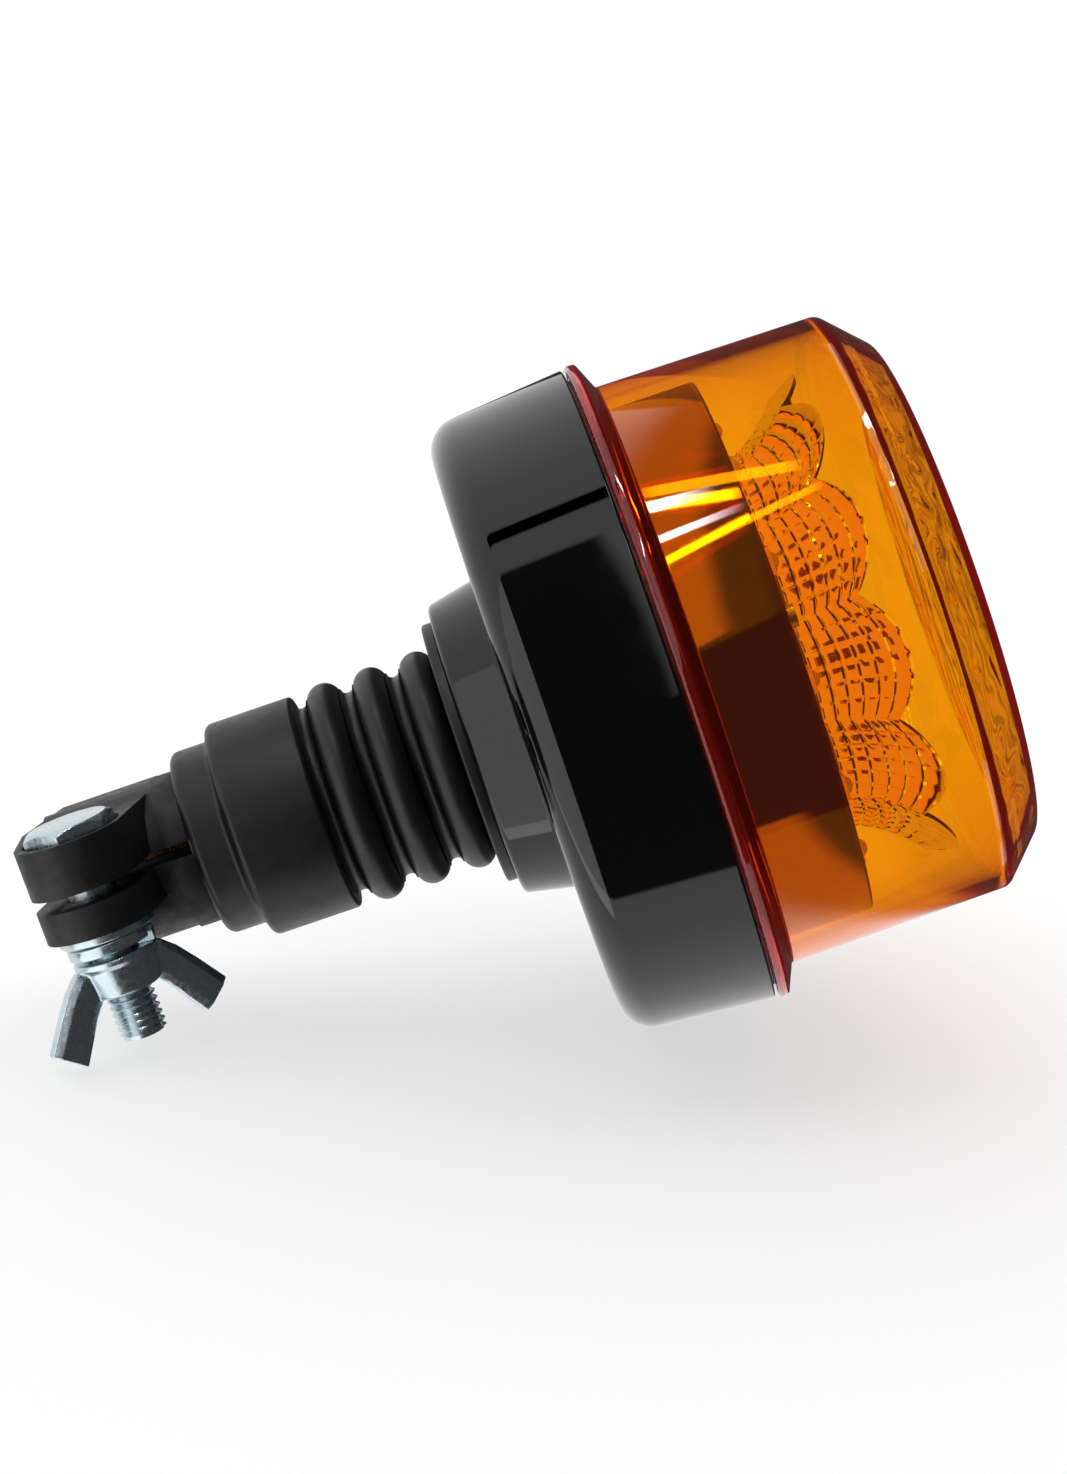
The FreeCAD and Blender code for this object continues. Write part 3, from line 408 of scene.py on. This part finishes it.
def castAluminium():
    # cast plate with machined faces: pale grey, slightly mottled
    material, tree, shader, place, output = startMaterial("castAluminium", **{"Metallic": 1.0})
    tree.links.new(tinted(tree, noiseOf(tree, place, 7), "#A9ABAD", "#C6C8C9"),
                   shader.inputs["Base Color"])
    tree.links.new(spread(tree, noiseOf(tree, place, 1), 0.34, 0.5), shader.inputs["Roughness"])
    return material


def metallised(name, colour, low, high):
    # vacuum-metallised plastic: mirror bright, a little soft
    material, tree, shader, place, output = startMaterial(name, **{
        "Metallic": 1.0, "Base Color": linear(colour)})
    tree.links.new(spread(tree, noiseOf(tree, place, 2), low, high), shader.inputs["Roughness"])
    return material


def printedBoard(name, dark, light, paintedGlow=0.0):
    # solder mask over glass fibre: fine weave under gloss; the last argument is a painted orange
    # glow, light of its own standing in for light scattered in the lens
    material, tree, shader, place, output = startMaterial(name, **{
        "Roughness": 0.3, "Emission Color": linear("#FFA25A"), "Emission Strength": paintedGlow})
    tree.links.new(tinted(tree, noiseOf(tree, place, 2), dark, light),
                   shader.inputs["Base Color"])
    tree.links.new(bumpOf(tree, noiseOf(tree, place, 0.5, 1), 0.01, 0.5), shader.inputs["Normal"])
    return material


def plainPlastic(name, dark, light, low, high):
    # PVC, sleeve or moulding compound with slight colour drift
    material, tree, shader, place, output = startMaterial(name)
    tree.links.new(tinted(tree, noiseOf(tree, place, 4), dark, light), shader.inputs["Base Color"])
    tree.links.new(spread(tree, noiseOf(tree, place, 1.5), low, high), shader.inputs["Roughness"])
    return material


# between these heights in metres the flow marks of the lens's end set in
flowMarks = (0.180, 0.184)


def amberPolycarbonate():
    # polished clear polycarbonate, dyed through: orange in the wall, red where it is thick, partly
    # from the dye and partly from a painted red glow the body gives off, though it is no lamp;
    # light that has bounced about in the wall for long comes out as plain red glow
    material, tree, shader, place, output = startMaterial("amberPolycarbonate", **{
        "Base Color": linear("#FFFFFF"), "Transmission Weight": 1.0, "Roughness": 0.0,
        "IOR": 1.585})
    height = addNode(tree, "ShaderNodeSeparateXYZ", links={0: place}).outputs["Z"]
    crown = addNode(tree, "ShaderNodeMapRange", links={
        "Value": height, "From Min": flowMarks[0], "From Max": flowMarks[1]}).outputs[0]
    flow = addNode(tree, "ShaderNodeMath", {"operation": "MULTIPLY"}, {
        0: noiseOf(tree, place, 11, 1), 1: crown}).outputs[0]
    calm = bumpOf(tree, noiseOf(tree, place, 26, 1), 0.03, 0.3)
    tree.links.new(bumpOf(tree, flow, 0.7, 0.7, calm), shader.inputs["Normal"])
    path = addNode(tree, "ShaderNodeLightPath").outputs
    red = addNode(tree, "ShaderNodeBsdfTransparent", links={"Color": linear("#FF6A10")})
    deep = addNode(tree, "ShaderNodeMath", {"operation": "GREATER_THAN"}, {
        0: path["Ray Depth"], 1: 5.5})
    glass = addNode(tree, "ShaderNodeMixShader", links={0: deep.outputs[0], 1: shader.outputs[0],
                                                        2: red.outputs[0]})
    clear = addNode(tree, "ShaderNodeBsdfTransparent", links={"Color": linear("#FFF4E6")})
    mixed = addNode(tree, "ShaderNodeMixShader", links={
        0: path["Is Shadow Ray"], 1: glass.outputs[0], 2: clear.outputs[0]})
    tree.links.new(mixed.outputs[0], output.inputs["Surface"])
    dye = addNode(tree, "ShaderNodeVolumeAbsorption", links={
        "Color": linear("#FEF000"), "Density": 1700.0})
    # painted glow: the lens body gives off red light of its own, more where the plastic is thick
    paintedRedGlow = addNode(tree, "ShaderNodeEmission", links={"Color": linear("#FF3A08"),
                                                      "Strength": 5.0})
    body = addNode(tree, "ShaderNodeAddShader", links={0: dye.outputs[0], 1: paintedRedGlow.outputs[0]})
    tree.links.new(body.outputs[0], output.inputs["Volume"])
    return material


nylon = mouldedNylon()
rubber = mouldedRubber()
gloss = glossAbs()
smokedMirror = metallised("smokedMirror", "#B47B66", 0.02, 0.05)
zinc = zincPlate()
steel = plainSteel()
brass = rolledBrass()
aluminium = castAluminium()
mirror = metallised("metallised", "#F0F0F0", 0.06, 0.12)
board = printedBoard("greenBoard", "#0C3A1E", "#14522B")
# the LED board gets a painted glow of 0.8: it gives off light though it is no lamp
ledBoard = printedBoard("whiteBoard", "#F0F0EA", "#FAFAF5", 0.8)
amber = amberPolycarbonate()
redPvc = plainPlastic("redPvc", "#7A0D0B", "#96120E", 0.3, 0.45)
blackPvc = plainPlastic("blackPvc", "#0D0D0D", "#171717", 0.3, 0.45)
ferrite = plainPlastic("ferriteAndEpoxy", "#141414", "#222222", 0.4, 0.6)
canSleeve = plainPlastic("capacitorSleeve", "#15182A", "#1E2338", 0.25, 0.4)
phosphor = plainPlastic("phosphorResin", "#D9B23A", "#EBCB5C", 0.12, 0.25)

finishes = {
    "clamp_body": nylon, "clamp_bolt": zinc, "flat_washer": zinc, "spring_washer": zinc,
    "wing_nut": zinc, "contact_housing": ferrite, "contact_plunger": brass,
    "contact_spring": steel, "contact_terminal": brass, "ground_contact": brass,
    "stem_bellows": rubber, "stem_insert": steel, "stem_screws": steel, "base_cup": gloss,
    "driver_board": board, "driver_capacitors": canSleeve, "driver_coil": ferrite,
    "driver_chips": ferrite, "driver_screws": steel, "lead_positive": redPvc,
    "lead_negative": blackPvc, "led_lead": blackPvc, "carrier_drum": smokedMirror,
    "carrier_screws": steel, "heat_sink": aluminium, "led_board": ledBoard, "board_screws": steel,
    "led_emitters": phosphor, "reflector": mirror, "reflector_screws": steel,
    "lens_seal": rubber, "lens": amber,
}
for name, finish in finishes.items():
    nodes[name].data.materials.clear()
    nodes[name].data.materials.append(finish)
print("materials are ready")


# stem

# where each bend starts and ends along Z, and where the two bends meet, in metres
bends = {"lower": (("clamp", "stem"), 0.0515, 0.0655),
         "upper": (("stem", "head"), 0.0705, 0.0855)}
bendsMeet = 0.0673

stem = {"sleeveFoot": 28.33, "sleeveLow": 19.6, "step": 37.0, "sleeveHigh": 22.8,
        "sleeveTop": 55.9, "spine": 19.7, "groove": 2.8, "grooveRound": 1.3, "roll": 3.6,
        "bore": 13.2, "tube": 15.73, "barb": 17.73, "flange": 27.8, "neck": 88.37}


def rolls(start, count):
    # outline of the rolls from a height upwards: a groove with round corners, then half a circle
    s = stem
    points = []
    for number in range(count):
        foot = start + number * (s["groove"] + 2 * s["roll"])
        head = foot + s["groove"]
        for centre, first in ((foot + s["grooveRound"], 270), (head - s["grooveRound"], 180)):
            points += arcPoints(s["spine"] + s["grooveRound"], centre, s["grooveRound"],
                                first, first - 90, 6)
        points += arcPoints(s["spine"], head + s["roll"], s["roll"], -80, 90, 16)
    return points


def arcPoints(radius, height, size, start, end, steps):
    # points on a circle in the (radius, height) plane, angles in degrees
    turns = [math.radians(start + (end - start) * k / steps) for k in range(steps + 1)]
    return [Vector((radius + size * math.cos(t), height + size * math.sin(t))) for t in turns]


def buildStem():
    s = stem
    split = s["sleeveTop"] + 1.5 * s["groove"] + 2 * s["roll"]
    lower = roundedProfile([
        (s["barb"], 49.03), (s["barb"], 43.97), (s["tube"], 43.97), (s["tube"], s["sleeveFoot"]),
        (s["sleeveLow"], s["sleeveFoot"], 3.4), (s["sleeveLow"], s["step"], 1.4),
        (s["sleeveHigh"], s["step"], 1.8), (s["sleeveHigh"], s["sleeveTop"], 2.2),
        (s["spine"] + s["grooveRound"], s["sleeveTop"])], closed=False)
    whole = rolls(s["sleeveTop"], 3)
    lower += [p for p in whole if p.y < split]
    lower += [Vector(p) for p in (
        (s["spine"], split), (s["bore"], split), (s["bore"], 52.03), (s["tube"], 52.03),
        (s["tube"], 49.03))]
    upper = [Vector((s["bore"], split)), Vector((s["spine"], split))]
    upper += [p for p in whole if p.y > split]
    upper += roundedProfile([
        (s["spine"], whole[-1].y + 0.01), (s["flange"], whole[-1].y + 0.05, 0.6),
        (s["flange"], s["neck"], 0.4), (23.03, s["neck"]), (23.03, 85.91), (s["bore"], 85.91)],
        closed=False)
    for name, profile, bend in (("bellowsLower", lower, "lower"),
                                ("bellowsUpper", upper, "upper")):
        piece = turned(name, profile, rubber)
        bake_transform(piece)
        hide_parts("stem_bellows")


buildStem()


def splitLead(node):
    # the lead is cut in two halves where the stem's two bends meet
    for bend, (ends, start, end) in bends.items():
        above = bend == "upper"
        mesh = nodes[node].data.copy()
        cut = bmesh.new()
        cut.from_mesh(mesh)
        bmesh.ops.remove_doubles(cut, verts=cut.verts, dist=1e-7)
        everything = cut.verts[:] + cut.edges[:] + cut.faces[:]
        sliced = bmesh.ops.bisect_plane(cut, geom=everything, plane_co=(0, 0, bendsMeet),
                                        plane_no=(0, 0, 1), clear_inner=above,
                                        clear_outer=not above)
        rim = [e for e in sliced["geom_cut"] if isinstance(e, bmesh.types.BMEdge)]
        bmesh.ops.contextual_create(cut, geom=rim)
        cut.to_mesh(mesh)
        cut.free()
        piece = bpy.data.objects.new(node + bend.capitalize(), mesh)
        bpy.context.scene.collection.objects.link(piece)
        smoothUnder(piece, 35)
        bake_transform(piece)
        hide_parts(node)


splitLead("lead_positive")
splitLead("lead_negative")
print("stem is ready")


# base cup, drum and lens

cup = [(6.5, 88.4), (31.1, 88.4, 1.4), (33.4, 99.3, 1.4), (65.2, 99.3, 7.0), (67.8, 130.0, 0.5),
       (65.2, 130.0, 0.2), (65.2, 127.6), (62.9, 127.6), (62.6, 101.9, 3.2), (30.2, 101.9),
       (27.9, 91.4), (6.5, 91.4)]
drum = [(54.8, 102.0), (57.0, 102.0), (57.0, 154.0, 0.5), (54.8, 154.0, 0.3), (54.8, 149.2),
        (50.0, 149.2), (50.0, 146.8), (54.8, 142.0)]
lens = [(60.1, 126.0, 0.4), (62.5, 126.0, 0.4), (62.5, 130.5), (68.2, 130.5, 0.9),
        (68.2, 132.8, 0.9), (62.3, 135.4, 0.5), (61.6, 182.2, 2.8), (52.7, 190.9, 2.8),
        (0.0, 190.9), (0.0, 188.5), (51.7, 188.5, 1.6), (59.2, 181.2, 1.2), (59.9, 135.4)]
stand(turned("baseCup", roundedProfile(cup, steps=14), gloss, 256), "head", "base_cup")
stand(turned("carrierDrum", roundedProfile(drum), smokedMirror, 256), "head", "carrier_drum")
stand(turned("amberLens", roundedProfile(lens, steps=8), amber, 256), "head", "lens")
print("cup, drum and lens are ready")


# reflector

# cell is how many mesh steps one facet has each way, pillow its bulge in mm
petals = {"count": 12, "foot": 38.8, "mouth": 55.0, "tall": 21.5, "dip": 3.2, "crown": 17.0,
          "base": 152.5, "wall": 1.3, "disc": 37.4, "floor": 1.8,
          "columns": 6, "rows": 7, "cell": 6, "pillow": 0.5}


def petalPoint(across, up, inward, lift):
    # across is -1..1 over one petal, up is 0..1, result in (radius, turn, height)
    p = petals
    turn = across * math.pi / p["count"]
    height = 0.0
    for attempt in range(3):
        share = height / p["tall"] if attempt else up
        reach = (p["foot"] + (p["mouth"] - p["foot"]) * share ** 1.7
                 - p["dip"] * (0.25 + 0.75 * share) * (1 - across ** 2))
        side = reach * math.sin(turn)
        top = p["tall"] - p["crown"] + math.sqrt(p["crown"] ** 2 - side ** 2)
        height = top * up
    return reach - inward + lift, turn, p["base"] + height


def buildReflector():
    p = petals
    wide, tall = p["columns"] * p["cell"], p["rows"] * p["cell"]
    points, faces = [], []
    for number in range(p["count"]):
        middle = 2 * math.pi * number / p["count"]
        start = len(points)
        for inward in (0, p["wall"]):
            for row in range(tall + 1):
                for column in range(wide + 1):
                    u = 2 * (column % p["cell"]) / p["cell"] - 1
                    v = 2 * (row % p["cell"]) / p["cell"] - 1
                    bulge = 0 if inward else p["pillow"] * (1 - u ** 4) * (1 - v ** 4)
                    radius, turn, height = petalPoint(
                        2 * column / wide - 1, row / tall, inward, bulge)
                    points.append(Vector((radius * math.cos(turn + middle),
                                          radius * math.sin(turn + middle), height)) * mm)
        layer = (wide + 1) * (tall + 1)
        for row in range(tall):
            for column in range(wide):
                a = start + row * (wide + 1) + column
                faces.append((a, a + 1, a + wide + 2, a + wide + 1))
                faces.append((a + layer + wide + 1, a + layer + wide + 2, a + layer + 1, a + layer))
        for column in range(wide):
            for a in (start + column, start + tall * (wide + 1) + column):
                faces.append((a, a + 1, a + 1 + layer, a + layer))
    petalRing = newMesh("petals", points, faces, mirror, 18)
    disc = turned("disc", roundedProfile([
        (0, p["base"]), (p["disc"], p["base"]), (p["disc"], p["base"] + p["floor"], 0.3),
        (0, p["base"] + p["floor"])]), mirror, 96)
    return joined("facetedReflector", [petalRing, disc])


stand(buildReflector(), "head", "reflector")
print("reflector is ready")

# clamp and its fasteners

def softened(piece, widthMm, sharpDegrees=30, segments=2):
    # flat faces merged, then every sharp edge rounded a little
    work = bmesh.new()
    work.from_mesh(piece.data)
    bmesh.ops.remove_doubles(work, verts=work.verts, dist=1e-6)
    bmesh.ops.dissolve_limit(work, angle_limit=math.radians(1.0), verts=work.verts,
                             edges=work.edges)
    sharp = [e for e in work.edges if len(e.link_faces) == 2
             and e.calc_face_angle(0) > math.radians(sharpDegrees)]
    bmesh.ops.bevel(work, geom=sharp, offset=widthMm * mm, offset_type="OFFSET",
                    segments=segments, profile=0.5, affect="EDGES", clamp_overlap=True,
                    miter_outer="ARC")
    work.to_mesh(piece.data)
    work.free()
    smoothUnder(piece, 40)
    return piece


boltAxis = {"y": -21.4, "z": 7.4}


def onBolt(piece, alongMm, turnDegrees=0.0):
    # from local Z along the bolt to its place through the lugs
    place = Matrix.Translation(Vector((alongMm, boltAxis["y"], boltAxis["z"])) * mm)
    piece.data.transform(place @ Matrix.Rotation(math.radians(90), 4, "Y")
                         @ Matrix.Rotation(math.radians(turnDegrees), 4, "Z"))
    return piece


bolt = {"radius": 4.95, "core": 4.1, "pitch": 1.5, "threadFrom": 16.0, "length": 39.9,
        "chamfer": 1.0, "overlap": 0.9, "endDip": 0.3, "across": 16.9, "head": 6.4,
        "headTurn": 9.0, "headLip": (1.0, 0.6), "headBevel": (0.35, 1.1), "seat": -10.5}


def threadRadius(height, wave):
    # flat crests and roots with sloping flanks; fades in from the shank, chamfered at the end
    b = bolt
    flank = min(1.0, max(0.0, abs(wave - 0.5) * 2 * 1.3 - 0.12))
    cut = b["core"] + (b["radius"] - b["core"]) * flank
    fade = min(1.0, (height - b["threadFrom"]) / b["pitch"])
    radius = b["radius"] * (1 - fade) + cut * fade
    return min(radius, b["radius"] - b["chamfer"] + (b["length"] - height))


def buildBolt():
    b = bolt
    segments, perTurn = 48, 8
    points, faces = [], []
    start, end = b["threadFrom"], b["length"]
    rows = int((end - start) / b["pitch"] * perTurn)
    for row in range(rows + 1):
        for step in range(segments):
            share = step / segments
            height = start + (row / perTurn - share) * b["pitch"]
            height = min(max(height, start), end)
            radius = threadRadius(height, row / perTurn % 1.0)
            turn = 2 * math.pi * share
            points.append(Vector((radius * math.cos(turn), radius * math.sin(turn), height)) * mm)
    for row in range(rows):
        for step in range(segments):
            after = (step + 1) % segments
            lift = perTurn if after == 0 else 0
            a, c = row * segments + step, (row - lift) * segments + after
            if 0 <= row - lift:
                faces.append((a, c, c + segments, a + segments))
    thread = newMesh("thread", points, faces, zinc, 50)
    shankEnd, coreEnd = start + b["overlap"], end - b["endDip"]
    shank = turned("shank", [(0, 0), (b["radius"], 0), (b["radius"], shankEnd), (0, shankEnd)],
                   zinc, 64)
    core = turned("core", [(0, 1), (b["core"], 1), (b["core"], coreEnd), (0, coreEnd)], zinc, 48)
    corner = b["across"] / 2 / math.cos(math.pi / 6)
    lipWide, lipTall = b["headLip"]
    bevelWide, bevelTall = b["headBevel"]
    head = turned("head", [
        (0, 0), (corner - lipWide, 0), (corner, lipTall), (corner, -b["head"] + bevelTall),
        (b["across"] / 2 - bevelWide, -b["head"]), (0, -b["head"])], zinc, 192)
    work = bmesh.new()
    work.from_mesh(head.data)
    for side in range(6):
        turn = math.radians(60 * side)
        out = Vector((math.cos(turn), math.sin(turn), 0))
        cut = bmesh.ops.bisect_plane(work, geom=work.verts[:] + work.edges[:] + work.faces[:],
                                     plane_co=out * b["across"] / 2 * mm, plane_no=out,
                                     clear_outer=True)
        rim = [e for e in cut["geom_cut"] if isinstance(e, bmesh.types.BMEdge)]
        bmesh.ops.contextual_create(work, geom=rim)
    work.to_mesh(head.data)
    work.free()
    softened(head, 0.35, 14)
    head.data.transform(Matrix.Rotation(math.radians(b["headTurn"]), 4, "Z"))
    whole = joined("clampBolt", [head, thread, shank, core])
    return onBolt(whole, b["seat"])


stand(buildBolt(), "clamp", "clamp_bolt")

flatWasher = {"bore": 5.3, "rim": 9.95, "thick": 1.9, "at": 5.3}
springWasher = {"bore": 5.3, "rim": 9.0, "thick": 2.35, "rise": 1.4, "gap": 12.0, "turn": 200.0,
                "at": 7.32}


def buildFlatWasher():
    w = flatWasher
    ring = turned("flatWasher", roundedProfile([
        (w["bore"], 0, 0.15), (w["rim"], 0, 0.5), (w["rim"], w["thick"], 0.5),
        (w["bore"], w["thick"], 0.15)]), zinc, 96)
    return onBolt(ring, w["at"])


def buildSpringWasher():
    w = springWasher
    section = roundedProfile([(w["bore"], 0, 0.3), (w["rim"], 0, 0.3),
                              (w["rim"], w["thick"], 0.3), (w["bore"], w["thick"], 0.3)], steps=3)
    steps, count = 96, len(section)
    points, faces = [], []
    for step in range(steps + 1):
        share = step / steps
        turn = math.radians(w["gap"] / 2 + (360 - w["gap"]) * share)
        for radius, height in section:
            points.append(Vector((radius * math.cos(turn), radius * math.sin(turn),
                                  height + w["rise"] * share)) * mm)
    for step in range(steps):
        for index in range(count):
            a, c = step * count + index, step * count + (index + 1) % count
            faces.append((a, c, c + count, a + count))
    faces += [tuple(range(count)), tuple(range(steps * count, (steps + 1) * count))]
    return onBolt(newMesh("springWasher", points, faces, zinc, 40), w["at"], w["turn"])


stand(buildFlatWasher(), "washers", "flat_washer")
stand(buildSpringWasher(), "washers", "spring_washer")

wingNut = {"outer": [(8.0, 0.9), (9.6, 1.2), (12.6, 4.0), (16.0, 8.4), (20.2, 14.3)],
           "inner": [(4.5, 6.5), (6.4, 8.4), (8.6, 11.0), (11.0, 14.8), (13.9, 19.2)],
           "hub": [(8.8, 0.0, 0.4), (8.75, 1.2, 0.5), (7.9, 2.0, 0.8), (7.2, 8.0, 0.7)],
           "thick": 4.2, "bore": 5.05, "tall": 8.0, "turn": -29.0, "at": 11.15, "voxel": 0.22}

# half of a wing's section from its outer to its inner edge: share of the width, of the thickness
wingSection = ((0.0, 0.27), (0.24, 0.5), (0.76, 0.5), (1.0, 0.27))


def buildWingNut():
    n = wingNut
    pieces = [turned("hub", roundedProfile([(n["bore"], 0.0)] + n["hub"] + [
        (n["bore"] + 0.7, n["tall"], 0.2), (n["bore"], n["tall"] - 0.7)]), zinc, 96)]
    for side in (0, 180):
        points, faces = [], []
        for (outX, outZ), (inX, inZ) in zip(n["outer"], n["inner"]):
            low, high = Vector((outX, 0, outZ)), Vector((inX, 0, inZ))
            for sign, half in ((1, wingSection), (-1, wingSection[::-1])):
                for share, thick in half:
                    points.append(low.lerp(high, share) + Vector((0, sign * thick * n["thick"], 0)))
        for row in range(len(n["outer"]) - 1):
            for index in range(8):
                a, c = row * 8 + index, row * 8 + (index + 1) % 8
                faces.append((a, c, c + 8, a + 8))
        last = (len(n["outer"]) - 1) * 8
        faces += [tuple(range(8)), tuple(range(last, last + 8))]
        wing = newMesh("wing", [p * mm for p in points], faces, zinc)
        wing.data.transform(Matrix.Rotation(math.radians(side), 4, "Z"))
        pieces.append(wing)
    whole = joined("wingNut", pieces)
    forge = whole.modifiers.new("forge", "REMESH")
    forge.mode = "VOXEL"
    forge.voxel_size = n["voxel"] * mm
    ease = whole.modifiers.new("ease", "SMOOTH")
    ease.factor = 0.5
    ease.iterations = 8
    thin = whole.modifiers.new("thin", "DECIMATE")
    thin.ratio = 0.35
    settled = bpy.data.meshes.new_from_object(
        whole.evaluated_get(bpy.context.evaluated_depsgraph_get()))
    whole.modifiers.clear()
    whole.data = settled
    settled.materials.clear()
    settled.materials.append(zinc)
    smoothUnder(whole, 60)
    return onBolt(whole, n["at"], n["turn"])


stand(buildWingNut(), "wing_nut", "wing_nut")


def copied(name, node):
    piece = bpy.data.objects.new(name, nodes[node].data.copy())
    bpy.context.scene.collection.objects.link(piece)
    return piece


stand(softened(copied("clampBody", "clamp_body"), 0.4, 25), "clamp", "clamp_body")

# the contact spring rides on the clamp, on a mesh of its own
coil = stand(copied("contactSpring", "contact_spring"), "clamp", "contact_spring")
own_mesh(coil)
print("clamp and fasteners are ready")
